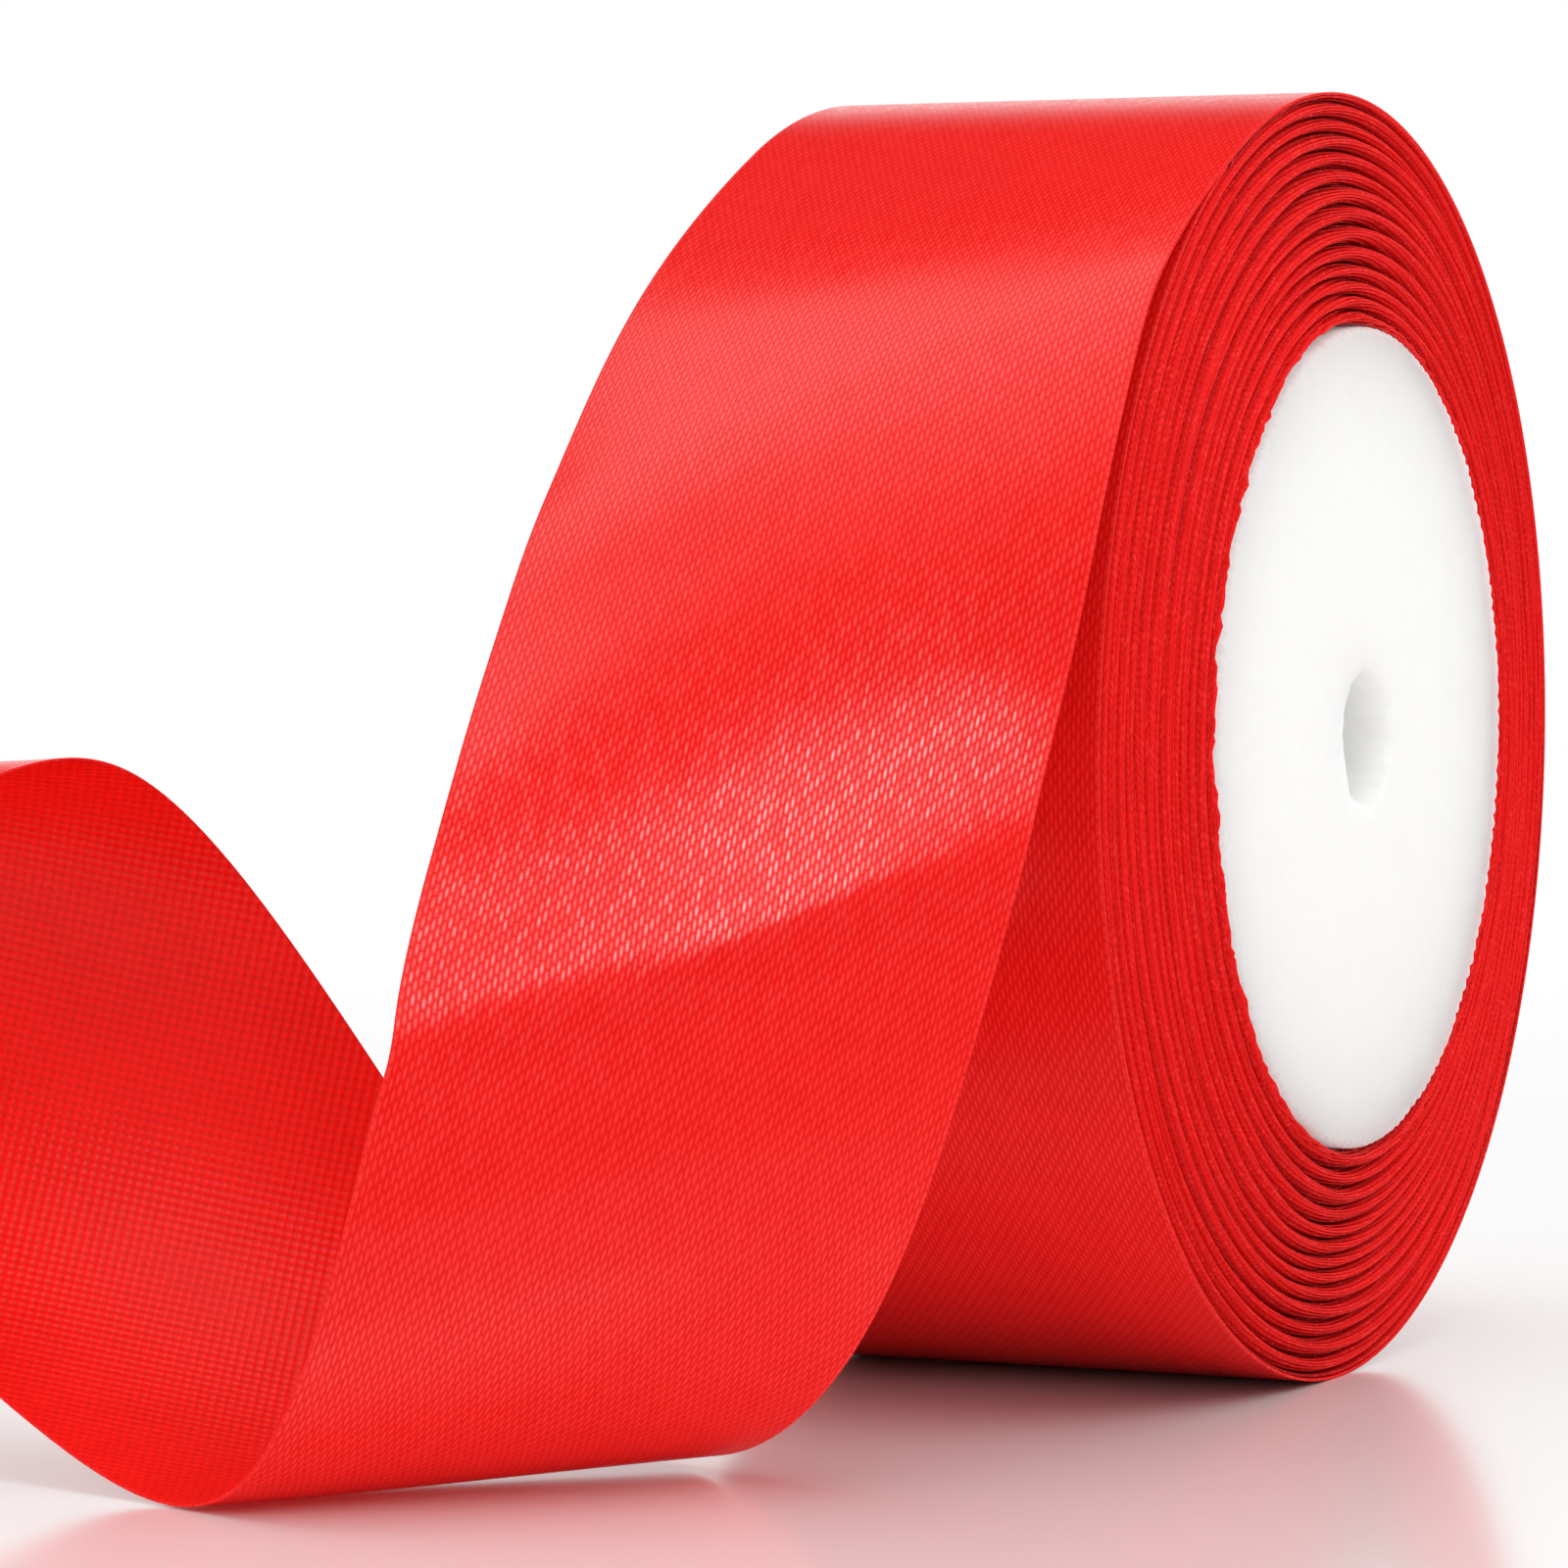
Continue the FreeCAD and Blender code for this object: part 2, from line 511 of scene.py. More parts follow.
def flat_grid(steps: int, rows: int, length: float, width: float,
              hem: float = 0.0) -> tuple[bmesh.types.BMesh, list[tuple[float, float]]]:
    """A flat grid that carries its layout in metres as its UV map.

    Args:
        steps: Faces along it.
        rows: Faces across it.
        length: Length of the layout.
        width: Width of the layout.
        hem: Width of the outermost faces along both long edges, if not like the rest.

    Returns:
        The grid, and each vertex's place along and across from 0 to 1.
    """
    grid = bmesh.new()
    bmesh.ops.create_grid(grid, x_segments=steps, y_segments=rows, size=0.5)
    if hem:
        for vert in grid.verts:
            row = round((vert.co.y + 0.5) * rows)
            if row in (1, rows - 1):
                vert.co.y = math.copysign(0.5 - hem / width, vert.co.y)
    layer = grid.loops.layers.uv.new(FLAT_UV)
    for face in grid.faces:
        for loop in face.loops:
            loop[layer].uv = ((loop.vert.co.x + 0.5) * length, (loop.vert.co.y + 0.5) * width)
    places = [(vert.co.x + 0.5, vert.co.y + 0.5) for vert in grid.verts]
    return grid, places


def as_piece(mesh: bmesh.types.BMesh, name: str,
             finishes: Sequence[bpy.types.Material]) -> bpy.types.Object:
    """Turns a finished bmesh into a smooth-shaded object at the origin.

    Args:
        mesh: The shape, which is freed.
        name: The object's name.
        finishes: Its materials, in slot order.

    Returns:
        The new object.
    """
    for face in mesh.faces:
        face.smooth = True
    data = bpy.data.meshes.new(name)
    mesh.to_mesh(data)
    mesh.free()
    for finish in finishes:
        data.materials.append(finish)
    piece = bpy.data.objects.new(name, data)
    bpy.context.scene.collection.objects.link(piece)
    return piece


def wander(first: float, second: float, seed: float) -> float:
    """Smooth noise from about -1 to 1 over two values."""
    return noise.noise(Vector((first, second, seed)))


def ease(low: float, high: float, value: float) -> float:
    """0 below low, 1 above high, and smooth between them."""
    share = min(max((value - low) / (high - low), 0.0), 1.0)
    return share * share * (3 - 2 * share)


def on_roll(x: float, radius: float, turn: float) -> Vector:
    """Point at a place along the axis, turned so far in radians from the top towards -Y."""
    return Vector((x, -radius * math.sin(turn), radius * math.cos(turn)))


# ---- the object


@dataclass(frozen=True)
class RollSizes:
    """Main sizes of the roll, read from the frame.

    The radius reaches from the axis to the floor. The core's leading face, core_end, and the
    last lap's edges, right and left, are places along X.
    """

    radius: float
    core_radius: float
    core_end: float
    bore_radius: float
    right: float
    left: float

    @classmethod
    def from_frame(cls) -> "RollSizes":
        """Reads the sizes from the frame's boxes and its bore mount."""
        core_low, core_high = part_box("foam_core")
        lap_low, lap_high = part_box("last_lap")
        bore = next(m for m in frame["record"]["mounts"] if m["name"] == "core_bore")
        return cls(radius=-lap_low.z, core_radius=core_high.z, core_end=core_high.x,
                   bore_radius=bore["dims"]["r_mm"] * MM, right=lap_high.x, left=lap_low.x)

    @property
    def width(self) -> float:
        """The ribbon's width."""
        return self.right - self.left


@dataclass
class FoamCore:
    """The bored foam cylinder, with its scalloped rim and ragged bore.

    It has so many steps round the axis, and rows of faces along the bore, across each end
    and along the outside. The rounded rim has a row at each of rim_stops, in degrees. The
    ends are rough for a length of rim_depth and lie back by sunk, and the bore meets them in
    a bevel as wide as mouth.
    """

    sizes: RollSizes
    steps: int = 640
    bore_rows: int = 12
    face_rows: int = 26
    side_rows: int = 4
    rim_round: float = 0.5 * MM
    rim_stops: tuple[float, ...] = (22.5, 45, 67.5)
    rim_depth: float = 2 * MM
    scallop: float = 0.55 * MM
    scallops: int = 160
    ragged: float = 0.45 * MM
    mouth: float = 0.5 * MM
    broad_dent: float = 0.07 * MM
    fine_dent: float = 0.05 * MM
    sunk: float = 0.1 * MM

    def profile(self) -> list[tuple[float, float]]:
        """Half section as (x, radius), once round from the bore's left end."""
        end = self.sizes.core_end
        bore = self.sizes.bore_radius
        outer = self.sizes.core_radius
        bore_wall = [(-end + self.mouth + (2 * end - 2 * self.mouth) * i / self.bore_rows, bore)
                     for i in range(self.bore_rows + 1)]
        flat = outer - self.rim_round - bore - self.mouth
        face = [bore + self.mouth + flat * i / self.face_rows
                for i in range(self.face_rows + 1)]
        rim = [(end - self.rim_round * (1 - math.cos(t)), outer - self.rim_round * (1 - math.sin(t)))
               for t in map(math.radians, self.rim_stops)]
        side = [(end - self.rim_round - (2 * end - 2 * self.rim_round) * i / self.side_rows, outer)
                for i in range(self.side_rows + 1)]
        right = [(end, radius) for radius in face] + rim
        left = [(-x, radius) for x, radius in reversed(right)]
        return bore_wall + right + side + left

    def settle(self, vert: bmesh.types.BMVert) -> None:
        """Roughens one vertex: scalloped rim, ragged bore, slightly uneven faces."""
        radius = math.hypot(vert.co.y, vert.co.z)
        turn = math.atan2(vert.co.y, vert.co.z)
        on_end = ease(self.sizes.core_end - self.rim_depth, self.sizes.core_end, abs(vert.co.x))
        at_rim = ease(0.95, 1.0, radius / self.sizes.core_radius) * on_end
        at_bore = 1 - ease(1.0, 1.5, radius / self.sizes.bore_radius)
        beads = abs(math.sin(turn * self.scallops / 2 + 2 * wander(turn * 4, 0, 3.0)))
        uneven = 0.7 + 0.9 * wander(math.cos(turn) * 11, math.sin(turn) * 11, 2.0)
        pull = -self.scallop * at_rim * (1 - beads) * uneven
        chips = wander(math.cos(turn) * 2.2, math.sin(turn) * 2.2 + vert.co.x * 300, 8.0)
        chips += 0.5 * wander(math.cos(turn) * 6, math.sin(turn) * 6 + vert.co.x * 500, 5.0)
        pull += self.ragged * at_bore * chips
        scale = (radius + pull) / radius
        vert.co.y *= scale
        vert.co.z *= scale
        dent = noise.noise(vert.co * 700) * self.fine_dent
        dent += noise.noise(vert.co * 260) * self.broad_dent
        vert.co.x += math.copysign(1, vert.co.x) * on_end * (dent - self.sunk)

    def build(self, foam: bpy.types.Material) -> bpy.types.Object:
        """Makes the core.

        Args:
            foam: Its material.

        Returns:
            The core, riding on the roll.
        """
        mesh = bmesh.new()
        verts = [mesh.verts.new((x, 0, radius)) for x, radius in self.profile()]
        edges = [mesh.edges.new(pair) for pair in zip(verts, verts[1:] + verts[:1])]
        bmesh.ops.spin(mesh, geom=verts + edges, cent=(0, 0, 0), axis=(1, 0, 0),
                       angle=FULL_TURN, steps=self.steps, use_merge=True)
        bmesh.ops.remove_doubles(mesh, verts=mesh.verts, dist=WELD)
        for vert in mesh.verts:
            self.settle(vert)
        bmesh.ops.recalc_face_normals(mesh, faces=mesh.faces)
        piece = as_piece(mesh, "foam_block", [foam])
        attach(piece, Body.ROLL.value)
        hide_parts("foam_core")
        return piece


@dataclass(frozen=True)
class WoundEnd:
    """Shape of the roll's end: a shallow cone of uneven rounded ridges.

    Args:
        sizes: Main sizes of the roll.
        outer: Radius of the outermost wound lap.
        laps: Number of wound laps.
        lean: How far the cone's outer rim lies behind the core's face.
        ridge_pitch: From one ridge to the next.
        ridge: Height of a ridge over its grooves.
        inset: How far the ridges lie behind the cone.
        seat: How far a whole ridge sits in or out.
        meander: How far a ridge wanders off its circle, as a share of ridge_pitch.
        jitter: Unevenness of single laps.
        fray: Unevenness of the laps by the core.
        fray_full: Depth over the core up to which they fray fully.
        fray_gone: Depth from which they don't.
        thickness_share: The ribbon's thickness as a share of the laps' pitch.
        start: Degrees from the top to where the first lap begins.
        blend: The share of the last lap that is as thin as the others.
    """

    sizes: RollSizes
    outer: float
    laps: int
    lean: float = 2.0 * MM
    ridge_pitch: float = 1.25 * MM
    ridge: float = 1.5 * MM
    inset: float = 0.2 * MM
    seat: float = 0.4 * MM
    meander: float = 0.5
    jitter: float = 0.04 * MM
    fray: float = 0.45 * MM
    fray_full: float = 0.5 * MM
    fray_gone: float = 1.6 * MM
    thickness_share: float = 0.96
    start: float = 30.0
    blend: float = 0.001

    @property
    def pitch(self) -> float:
        """How far each lap lies outside the one before."""
        return (self.outer - self.sizes.core_radius) / (self.laps + 1)

    def lap_radius(self, lap: float) -> float:
        """Inner radius of the ribbon after so many laps."""
        return self.sizes.core_radius + self.pitch * lap

    def lap_thickness(self, lap: float) -> float:
        """Thickness of the ribbon after so many laps. The last one makes the roll round."""
        thin = self.pitch * self.thickness_share
        if lap > self.laps - 1 + self.blend:
            return self.lap_radius(self.laps) + thin - self.lap_radius(lap)
        return thin

    def turn(self, lap: float) -> float:
        """Angle from the top after so many laps, in radians."""
        return FULL_TURN * lap + math.radians(self.start)

    def ridge_at(self, lap: float) -> tuple[int, float]:
        """The ridge's number after so many laps, and the place up it: 1 on its crest."""
        turn = self.turn(lap)
        count = (self.lap_radius(lap) - self.sizes.core_radius) / self.ridge_pitch
        count += self.meander * wander(count * 0.15 - math.sin(turn) * 1.1,
                                       math.cos(turn) * 1.1, 4.0)
        own = math.floor(count)
        return own, math.sin(math.pi * (count - own)) ** 0.8

    def right_edge(self, lap: float) -> float:
        """Where the ribbon's right edge lies along X after so many laps."""
        depth = self.lap_radius(lap) - self.sizes.core_radius
        turn = self.turn(lap)
        round_y = -math.sin(turn)
        round_z = math.cos(turn)
        own, crest = self.ridge_at(lap)
        height = self.ridge * (1 + 0.5 * wander(own * 1.9 + round_y, round_z, 7.0))
        seat = self.seat * wander(own * 3.7 + round_y * 0.6, round_z * 0.6, 1.0)
        fine = self.jitter * wander(lap * 2.7, turn * 7, 6.0)
        by_core = 1 - ease(self.fray_full, self.fray_gone, depth)
        fine += self.fray * by_core * wander(lap * 2.7, turn * 24, 9.0)
        cone = self.lean * depth / (self.sizes.radius - self.sizes.core_radius)
        edge = self.sizes.core_end - cone - height * (1 - crest) - self.inset + seat + fine
        settled = ease(self.laps - 2, self.laps, lap)
        return edge + (self.sizes.right - edge) * settled


@dataclass
class LapBundle:
    """A few laps of wound ribbon, as one closed spiral strip.

    Args:
        sizes: Main sizes of the roll.
        end: Shape of the roll's end.
        index: The bundle's number, from 0 at the core.
        laps: Laps in a bundle.
        steps_per_lap: Faces round one lap.
        swell: How far the selvedge swells out past the edge.
        corners: The strip's section from its inner right corner outwards: share of the width
            from the right edge, share of the thickness, and share of the swell towards +X.
        flat_sides: Which of the section's sides are the ribbon's two faces.
    """

    sizes: RollSizes
    end: WoundEnd
    index: int
    laps: int
    steps_per_lap: int = 264
    swell: float = 0.035 * MM
    corners: tuple[tuple[float, float, float], ...] = (
        (0.0, 0.12, 0), (0.0, 0.5, 1), (0.0, 0.88, 0), (0.004, 1.0, -1), (0.996, 1.0, 1),
        (1.0, 0.88, 0), (1.0, 0.5, -1), (1.0, 0.12, 0), (0.996, 0.0, 1), (0.004, 0.0, -1))
    flat_sides: tuple[int, int] = (3, 8)

    def build(self, finishes: Sequence[bpy.types.Material]) -> bpy.types.Object:
        """Makes the bundle.

        Args:
            finishes: Materials of its edges and its flat sides.

        Returns:
            The bundle, riding on the roll.
        """
        corners = len(self.corners)
        first = self.index * self.laps
        length = FULL_TURN * self.end.lap_radius(first + self.laps / 2) * self.laps
        mesh, places = flat_grid(self.laps * self.steps_per_lap, corners, length, 1 * MM)
        layer = mesh.loops.layers.uv[FLAT_UV]
        for face in mesh.faces:
            around = sum(loop[layer].uv.y for loop in face.loops) / len(face.loops) / MM
            side = int(around * corners)
            flat = side in self.flat_sides
            face.material_index = 1 if flat else 0
            for loop in face.loops:
                uv = loop[layer].uv
                if flat:
                    uv.y = self.sizes.width * round(uv.y / MM * corners - side)
                else:
                    uv.y = (first + self.laps * uv.x / length) * MM + uv.y * 0.1
        # Depth between the ridges, kept on each vertex; the finishes paint shade in the grooves by
        # it.
        grooves = mesh.verts.layers.float.new(GROOVE)
        for vert, (along, around) in zip(mesh.verts, places):
            lap = first + along * self.laps
            vert[grooves] = 1 - self.end.ridge_at(lap)[1]
            share, layer_share, swell = self.corners[round(around * corners) % corners]
            radius = self.end.lap_radius(lap) + self.end.lap_thickness(lap) * layer_share
            x = self.end.right_edge(lap) - share * self.sizes.width + swell * self.swell
            vert.co = on_roll(x, radius, self.end.turn(lap))
        bmesh.ops.remove_doubles(mesh, verts=mesh.verts, dist=WELD)
        ends = [edge for edge in mesh.edges if edge.is_boundary]
        bmesh.ops.holes_fill(mesh, edges=ends, sides=0)
        bmesh.ops.recalc_face_normals(mesh, faces=mesh.faces)
        name = f"{self.index + 1:02d}"
        piece = as_piece(mesh, f"laps_{name}", finishes)
        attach(piece, Body.ROLL.value)
        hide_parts(f"lap_group_{name}")
        return piece


@dataclass(frozen=True)
class Ripple:
    """A soft ridge or dent that runs slanting across the free end.

    Args:
        place: Where it crosses the right edge, from the start of the free end.
        height: Its height, below 0 for a dent.
        reach: How far it spreads along the ribbon.
    """

    place: float
    height: float
    reach: float

    def rise(self, distance: float) -> float:
        """Height over the smooth strip at a distance along its right edge."""
        away = (distance - self.place) / self.reach
        return self.height * math.exp(-away * away / 2)


@dataclass(frozen=True)
class Stop:
    """A control row across the free end.

    Args:
        middle: Its middle, before the crown.
        turn: Degrees that its right half turns from +X towards +Y.
        tilt: Degrees that its right half rises.
        crown: How far the satin side bulges in the middle.
    """

    middle: tuple[float, float, float]
    turn: float
    tilt: float
    crown: float

    def across(self) -> Vector:
        """Direction towards the right edge."""
        turn = math.radians(self.turn)
        tilt = math.radians(self.tilt)
        return Vector((math.cos(turn) * math.cos(tilt),
                       math.sin(turn) * math.cos(tilt), math.sin(tilt)))


@dataclass
class RibbonStrip:
    """The last lap and the free end, as one strip of satin ribbon.

    Args:
        sizes: Main sizes of the roll.
        end: Shape of the roll's end.
        thickness: The ribbon's thickness.
        clearance: Gap between the wound laps and the last one.
        leave_angle: Degrees from the top to where the free end leaves the roll.
        leave_step: How far it goes on straight from there.
        lap_sweep: Degrees that the last lap goes round the roll.
        route: The control rows that the rest of the free end follows.
        ripples: Its ridges and dents.
        ripple_slant: Their shift along the ribbon from the right edge to the left.
        step: Length of a face.
        rows: Faces across the ribbon.
        hem: Width of the outermost ones.
        samples: Places at which the free end is measured.
        nudge: Step to either side that gives the direction along the free end.
    """

    sizes: RollSizes
    end: WoundEnd
    thickness: float = 0.2 * MM
    clearance: float = 0.02 * MM
    leave_angle: float = 25.0
    leave_step: float = 7 * MM
    lap_sweep: float = 355.0
    route: Sequence[Stop] = (
        Stop((-0.002, -0.0385, 0.033), 4, 2, 0.001),
        Stop((-0.0005, -0.053, 0.018), 9, -4, 0.003),
        Stop((-0.0005, -0.064, 0.0005), 25, -9, 0.0045),
        Stop((0.0005, -0.076, -0.016), 40, -17, 0.0045),
        Stop((-0.002, -0.083, -0.035), 53, -18, 0.002),
        Stop((-0.016, -0.076, -0.0506), 71, 0, 0.0005),
        Stop((-0.0345, -0.070, -0.038), 64, 17, 0.003),
        Stop((-0.050, -0.068, -0.0235), 44, 30, 0.003),
        Stop((-0.061, -0.072, -0.0075), 9, 30, 0.004),
        Stop((-0.065, -0.082, -0.0035), -10, 8, 0.004),
        Stop((-0.069, -0.090, -0.004), -12, -1, 0.003),
        Stop((-0.073, -0.097, -0.010), -14, -3, 0.002),
    )
    ripples: Sequence[Ripple] = (
        Ripple(23.5 * MM, 0.5 * MM, 5.0 * MM),
        Ripple(53.0 * MM, -1.0 * MM, 6.1 * MM),
        Ripple(66.0 * MM, 0.8 * MM, 2.4 * MM),
    )
    ripple_slant: float = 26.0 * MM
    step: float = 0.8 * MM
    rows: int = 44
    hem: float = 0.08 * MM
    samples: int = 600
    nudge: float = 0.002

    def __post_init__(self) -> None:
        """Works out the control rows and the distance along them."""
        self.lap_length = math.radians(self.lap_sweep) * self.sizes.radius
        self.controls = self.control_rows()
        self.places, self.reaches = self.measure()

    @property
    def lap_radius(self) -> float:
        """Radius of the last lap's satin face."""
        return self.end.outer + self.clearance + self.thickness

    def control_rows(self) -> list[tuple[Vector, Vector, Vector]]:
        """Control rows of the free end's satin face: right edge, middle, left edge."""
        sizes = self.sizes
        middle_x = (sizes.right + sizes.left) / 2
        leave = math.radians(self.leave_angle)
        lift = [on_roll(x, self.lap_radius, leave) for x in (sizes.right, middle_x, sizes.left)]
        along = on_roll(0, 1, leave + FULL_TURN / 4)
        rows = [tuple(lift), tuple(point + along * self.leave_step for point in lift)]
        middles = [row[1] for row in rows] + [Vector(stop.middle) for stop in self.route]
        for index, stop in enumerate(self.route, start=len(rows)):
            ahead = middles[min(index + 1, len(middles) - 1)] - middles[index - 1]
            outward = ahead.cross(stop.across()).normalized()
            half = stop.across() * (sizes.width / 2)
            rows.append((middles[index] + half, middles[index] + outward * (2 * stop.crown),
                         middles[index] - half))
        return rows

    def tail_row(self, place: float) -> list[Vector]:
        """The three control points across the free end at a place from 0 to 1."""
        spans = len(self.controls) - CURVE_DEGREE
        knots = [0] * CURVE_DEGREE + list(range(spans + 1)) + [spans] * CURVE_DEGREE
        at = place * spans
        span = min(int(at), spans - 1)
        near = self.controls[span:span + CURVE_DEGREE + 1]
        row = []
        for column in zip(*near):
            points = [point.copy() for point in column]
            for level in range(1, CURVE_DEGREE + 1):
                for i in range(CURVE_DEGREE, level - 1, -1):
                    low = knots[span + i]
                    high = knots[span + i + CURVE_DEGREE + 1 - level]
                    share = (at - low) / (high - low)
                    points[i] = points[i - 1].lerp(points[i], share)
            row.append(points[CURVE_DEGREE])
        return row

    def measure(self) -> tuple[list[float], list[float]]:
        """Places along the free end and how far each is along its middle."""
        places = [i / self.samples for i in range(self.samples + 1)]
        middle = [self.across_tail(self.tail_row(place), 0.5) for place in places]
        reaches = [0.0]
        for before, after in zip(middle, middle[1:]):
            reaches.append(reaches[-1] + (after - before).length)
        return places, reaches

    @staticmethod
    def across_tail(row: Sequence[Vector], across: float) -> Vector:
        """Point across a row of three control points."""
        return row[0].lerp(row[1], across).lerp(row[1].lerp(row[2], across), across)

    @property
    def tail_length(self) -> float:
        """Length of the free end."""
        return self.reaches[-1]

    def place_at(self, distance: float) -> float:
        """Place from 0 to 1 for a distance along the free end."""
        index = min(max(bisect_left(self.reaches, distance), 1), self.samples)
        low, high = self.reaches[index - 1], self.reaches[index]
        share = min(max((distance - low) / (high - low), 0.0), 1.0)
        return self.places[index - 1] + (self.places[index] - self.places[index - 1]) * share

    def row_points(self, distance: float, shares: Sequence[float]) -> list[Vector]:
        """Satin-face points across the strip at a distance along it.

        Args:
            distance: From the start of the last lap.
            shares: Places across, from 0 at the right edge to 1 at the left.

        Returns:
            One point for each share.
        """
        if distance < self.lap_length:
            turned = self.lap_sweep * (1 - distance / self.lap_length)
            turn = math.radians(self.leave_angle - turned)
            return [on_roll(self.sizes.right - share * self.sizes.width, self.lap_radius, turn)
                    for share in shares]
        return self.tail_points(distance - self.lap_length, shares)

    def tail_points(self, distance: float, shares: Sequence[float]) -> list[Vector]:
        """Satin-face points across the free end at a distance along it."""
        place = self.place_at(distance)
        row = self.tail_row(place)
        behind = self.tail_row(max(place - self.nudge, 0.0))
        ahead = self.tail_row(min(place + self.nudge, 1.0))
        points = []
        for share in shares:
            onward = self.across_tail(ahead, share) - self.across_tail(behind, share)
            outward = onward.cross(row[0] - row[2]).normalized()
            level = distance - share * self.ripple_slant
            rise = sum(ripple.rise(level) for ripple in self.ripples)
            points.append(self.across_tail(row, share) + outward * rise)
        return points

    def build(self, finishes: Sequence[bpy.types.Material]) -> bpy.types.Object:
        """Makes the strip.

        Args:
            finishes: Materials of its satin side, its back and its edges.

        Returns:
            The strip, riding on the body that holds the free end.
        """
        length = self.lap_length + self.tail_length
        steps = round(length / self.step)
        mesh, places = flat_grid(steps, self.rows, length, self.sizes.width, self.hem)
        columns: dict[int, list[tuple[float, bmesh.types.BMVert]]] = {}
        for vert, (along, across) in zip(mesh.verts, places):
            columns.setdefault(round(along * steps), []).append((across, vert))
        for column, members in columns.items():
            shares = [across for across, _ in members]
            points = self.row_points(length * column / steps, shares)
            for (_, vert), point in zip(members, points):
                vert.co = point
        bmesh.ops.reverse_faces(mesh, faces=mesh.faces)
        piece = as_piece(mesh, "ribbon_strip", finishes)
        wall = piece.modifiers.new("thickness", "SOLIDIFY")
        wall.thickness = self.thickness
        wall.offset = -1.0
        wall.material_offset = 1
        wall.material_offset_rim = 2
        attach(piece, Body.TAIL.value)
        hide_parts("last_lap", "free_tail")
        return piece


@dataclass
class RibbonRoll:
    """The whole object. Its wound_radius is that of the outermost wound lap."""

    sizes: RollSizes
    bundles: int = 18
    laps_per_bundle: int = 5
    wound_radius: float = 46.77 * MM

    def build(self) -> None:
        """Builds every piece in order and reports it."""
        core = FoamCore(self.sizes).build(BeadFoam().material())
        LOG.info("core: %s", core.name)
        end = WoundEnd(self.sizes, self.wound_radius, self.bundles * self.laps_per_bundle)
        strip = RibbonStrip(self.sizes, end)
        selvedge = Selvedge().material()
        satin = SatinFace(self.sizes.width / MM, strip.lap_length / MM).material()
        for index in range(self.bundles):
            piece = LapBundle(self.sizes, end, index, self.laps_per_bundle).build([selvedge, satin])
            LOG.info("bundle of laps: %s", piece.name)
        piece = strip.build([satin, PlainBack().material(), selvedge])
        LOG.info("strip: %s, free end %.0f mm", piece.name, strip.tail_length / MM)
        tape = frame["nodes"]["starter_tape"]
        tape.data.materials.clear()
        tape.data.materials.append(ClearTape().material())
        LOG.info("tape: %s", tape.name)


# ---- studio


@dataclass(frozen=True)
class Softbox:
    """A rectangular area lamp that hangs level, or points at its aim.

    Its width turns from +X towards +Y, in degrees.
    """

    name: str
    place: tuple[float, float, float]
    width: float
    height: float
    power: float
    turn: float = 0.0
    aim: tuple[float, float, float] | None = None

    def hang(self) -> None:
        """Adds the lamp to the scene."""
        lamp = bpy.data.lights.new(self.name, "AREA")
        lamp.shape = "RECTANGLE"
        lamp.size = self.width
        lamp.size_y = self.height
        lamp.energy = self.power
        holder = bpy.data.objects.new(self.name, lamp)
        holder.location = self.place
        aim = Vector((0, 0, -1))
        if self.aim:
            aim = (Vector(self.aim) - Vector(self.place)).normalized()
        turn = math.radians(self.turn)
        side = Vector((math.cos(turn), math.sin(turn), 0))
        side = (side - aim * side.dot(aim)).normalized()
        holder.rotation_euler = Matrix((side, side.cross(aim), -aim)).transposed().to_euler()
        bpy.context.scene.collection.objects.link(holder)


@dataclass(frozen=True)
class FloorFinish(Finish):
    """The studio's floor: pale and glossy, darker in reflections, and a white light.

    Args:
        seen: Its colour to the camera.
        mirrored: Its colour in reflections, darker as painted shade.
        glow: Light that it adds ahead of the roll, under the free end.
        glow_start: How far ahead of the roll's axis that light begins.
        glow_end: How far ahead it has its full strength.
        fade_start: Distance from the object at which the floor begins to fade.
        fade_end: Distance at which it is clear.
    """

    name: str = "white_floor"
    seen: Colour = (0.73, 0.73, 0.73)
    mirrored: Colour = (0.24, 0.24, 0.24)
    glow: Colour = (0.32, 0.31, 0.31)
    glow_start: float = 0.02
    glow_end: float = 0.07
    fade_start: float = 0.20
    fade_end: float = 0.42

    def surface(self, sheet: NodeSheet) -> dict:
        """Values and links for the shader's sockets."""
        lighting = sheet.ray("Diffuse")
        # Painted shade: reflections see the floor darker than the camera does.
        colour = sheet.mix(self.seen, self.mirrored, sheet.ray("Glossy"))
        _, back, _ = sheet.parts(sheet.spot())
        ahead = (back * -1).ease(self.glow_start, self.glow_end)
        reach = sheet.node("ShaderNodeVectorMath", {"operation": "LENGTH"}, {0: sheet.spot()})
        distance = Term(sheet, reach.outputs["Value"])
        return {
            "Base Color": sheet.mix(colour, WHITE, lighting),
            "Roughness": 0.16,
            "IOR": 2.0,
            "Specular IOR Level": 0.9,
            "Alpha": 1 - distance.ease(self.fade_start, self.fade_end),
            "Emission Color": sheet.mix(BLACK, self.glow, lighting * ahead),
            "Emission Strength": 1.0,
        }


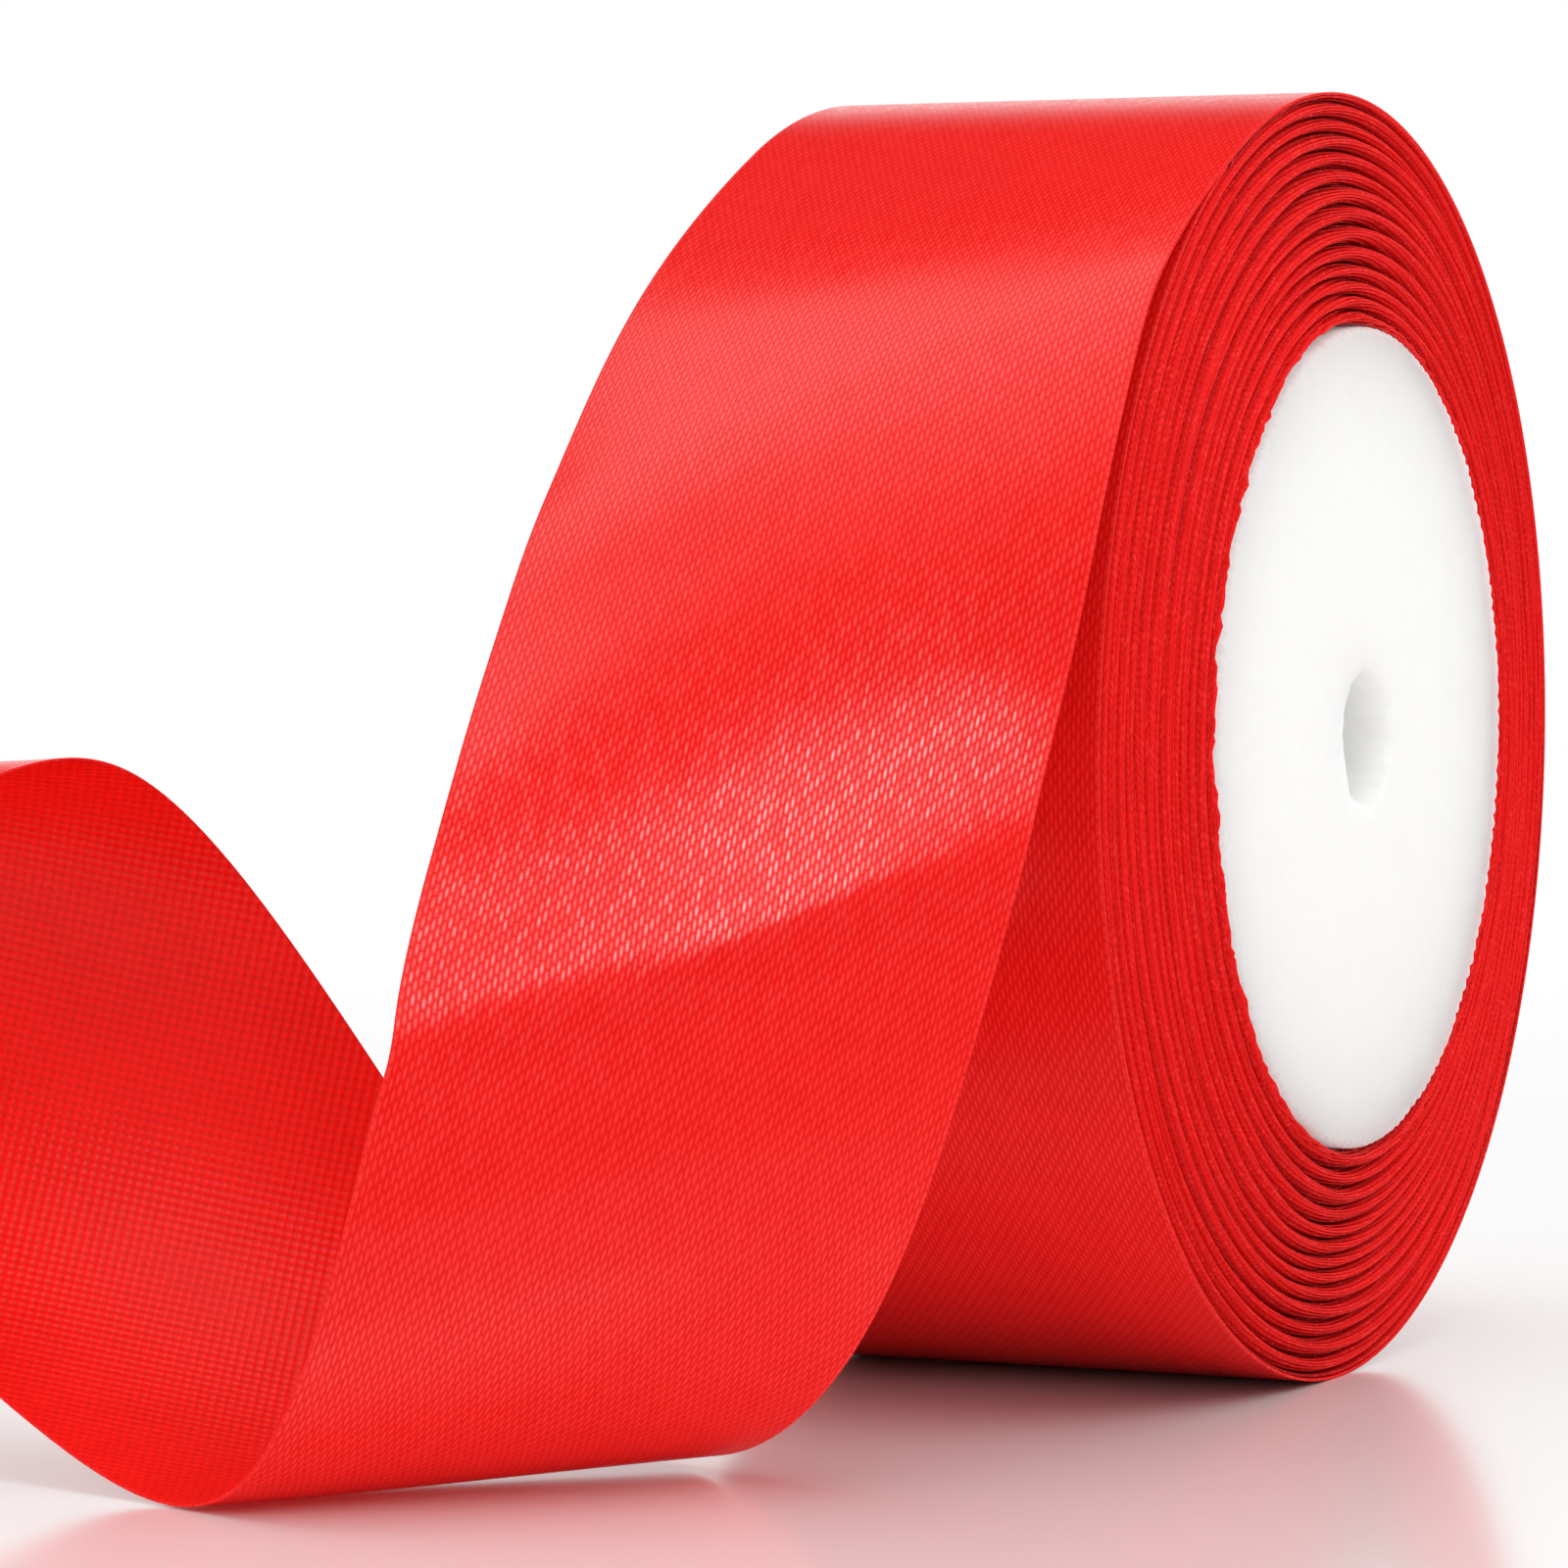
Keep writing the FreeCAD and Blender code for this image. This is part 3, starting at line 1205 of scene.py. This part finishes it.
@dataclass(frozen=True)
class Studio:
    """Pale floor, soft lamps, white surroundings and the camera.

    The surroundings shine with the strength ambient. Reflections find them white inside the
    two limits of the backdrop and as dark as ceiling elsewhere. The camera turns from +Y
    towards -X and dips, in degrees.
    """

    floor_level: float
    floor_size: float = 1.2
    ambient: float = 0.70
    ceiling: float = 0.05
    backdrop_sides: tuple[float, float] = (0.7, 0.9)
    backdrop_top: tuple[float, float] = (0.25, 0.55)
    lens: float = 152.0
    camera_place: tuple[float, float, float] = (0.18383, -0.4562, 0.01689)
    camera_turn: float = 24.92
    camera_dip: float = 2.40
    lamps: tuple[Softbox, ...] = (
        Softbox("top_softbox", (-0.206, 0.019, 0.75), 0.80, 0.48, 1.9, turn=-12),
        Softbox("front_strip", (0.463, -0.245, 0.75), 1.5, 0.32, 4.1, turn=-22),
        Softbox("left_fill", (-0.35, -0.85, 0.30), 0.5, 0.5, 2.0, aim=(-0.01, -0.05, 0.0)),
        Softbox("right_softbox", (0.60, 0.30, 0.35), 0.5, 0.5, 1.6, aim=(-0.01, -0.05, 0.0)),
    )

    def lay_floor(self) -> None:
        """Lays a pale floor that fades into the surroundings."""
        mesh = bmesh.new()
        bmesh.ops.create_grid(mesh, x_segments=1, y_segments=1, size=self.floor_size)
        bmesh.ops.translate(mesh, verts=mesh.verts, vec=(0, 0, self.floor_level))
        floor = as_piece(mesh, "floor", [FloorFinish().material()])

    def light_surroundings(self) -> None:
        """Makes a world that is white to the camera and an even light from all around."""
        world = bpy.data.worlds.new("studio")
        bpy.context.scene.world = world
        world.use_nodes = True
        sheet = NodeSheet(world.node_tree)
        way = sheet.node("ShaderNodeTexCoord")
        east, north, up = sheet.parts(Term(sheet, way.outputs["Generated"]))
        turn = math.radians(self.camera_turn)
        behind = (east * -math.sin(turn) + north * math.cos(turn)).ease(*self.backdrop_sides)
        backdrop = behind * (1 - up.ease(*self.backdrop_top))
        reflected = sheet.ray("Glossy")
        mirrored = reflected * (backdrop * (1 - self.ceiling) + self.ceiling)
        seen = sheet.ray("Camera").most(sheet.ray("Transmission"))
        strength = seen.most(mirrored).most((1 - reflected) * self.ambient)
        light = sheet.node("ShaderNodeBackground", {},
                           {"Color": (*WHITE, 1.0), "Strength": strength})
        sheet.node("ShaderNodeOutputWorld", {}, {"Surface": Term(sheet, light.outputs[0])})

    def place_camera(self) -> None:
        """Adds the camera and makes it the scene's."""
        camera = bpy.data.cameras.new("camera")
        camera.lens = self.lens
        holder = bpy.data.objects.new("camera", camera)
        holder.location = self.camera_place
        holder.rotation_euler = (math.radians(90 - self.camera_dip), 0,
                                 math.radians(self.camera_turn))
        bpy.context.scene.collection.objects.link(holder)
        bpy.context.scene.camera = holder

    def set_up(self) -> None:
        """Puts the whole studio in place."""
        self.lay_floor()
        self.light_surroundings()
        self.place_camera()
        for lamp in self.lamps:
            lamp.hang()
        bpy.context.scene.view_settings.view_transform = "Standard"


def main() -> None:
    """Builds the object and its studio."""
    logging.basicConfig(level=logging.INFO, format="%(name)s: %(message)s")
    sizes = RollSizes.from_frame()
    Studio(floor_level=-sizes.radius).set_up()
    RibbonRoll(sizes).build()


if __name__ == "__main__":
    main()
